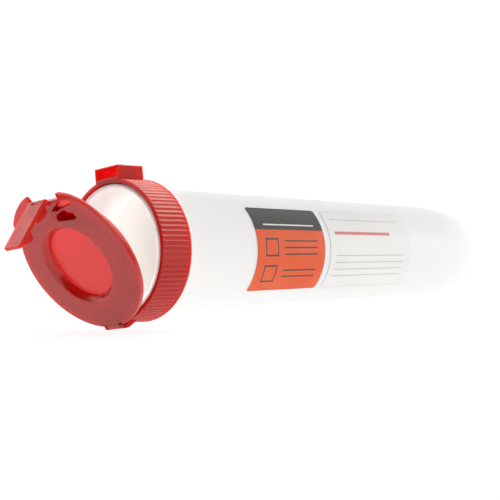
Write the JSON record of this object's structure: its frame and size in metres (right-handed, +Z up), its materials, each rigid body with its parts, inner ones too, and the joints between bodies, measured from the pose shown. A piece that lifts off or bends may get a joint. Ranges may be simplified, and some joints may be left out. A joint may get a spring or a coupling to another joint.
{
  "type": "sharps container",
  "caption": "Pocket sharps container: tapered bullet-nosed tube with a ribbed swivelling collar, a hinged plug lid and a fold-over locking strap.",
  "frame": {"origin": "centre of the mouth, in the plane of the collar's front edge", "axes": "+X along the tube from the mouth to the nose, +Z up, towards the keeper; the lid's hinge is at the bottom, 7 degrees round from -Z because the collar is stored turned by that much"},
  "size_m": [0.2347, 0.0406, 0.0459],
  "materials": {
    "white_pp": "translucent white polypropylene, satin",
    "red_pp": "slightly translucent red polypropylene, satin gloss",
    "orange_film": "printed label film, orange panel under a charcoal band",
    "white_film": "matt write-on label film with plain rules"
  },
  "bodies": {
    "tube": {"tube_body": "white_pp", "front_label": "orange_film", "info_label": "white_film"},
    "collar": {"collar_ring": "red_pp"},
    "lid": {"lid": "red_pp"},
    "strap": {"latch_strap": "red_pp"}
  },
  "joints": [
    {"name": "collar_turn", "type": "hinge", "parent": "tube", "child": "collar", "pos_m": [0, 0, 0], "axis": [1, 0, 0], "continuous": true},
    {"name": "lid_hinge", "type": "hinge", "parent": "collar", "child": "lid", "pos_m": [-0.001, -0.00252, -0.0205], "axis": [0, -0.9925, 0.1219], "range_deg": [-30.9, 149.1]},
    {"name": "strap_hinge", "type": "hinge", "parent": "lid", "child": "strap", "pos_m": [-0.02488, 0.00152, 0.01234], "axis": [0, 0.9925, -0.1219], "range_deg": [-68, 153]}
  ]
}
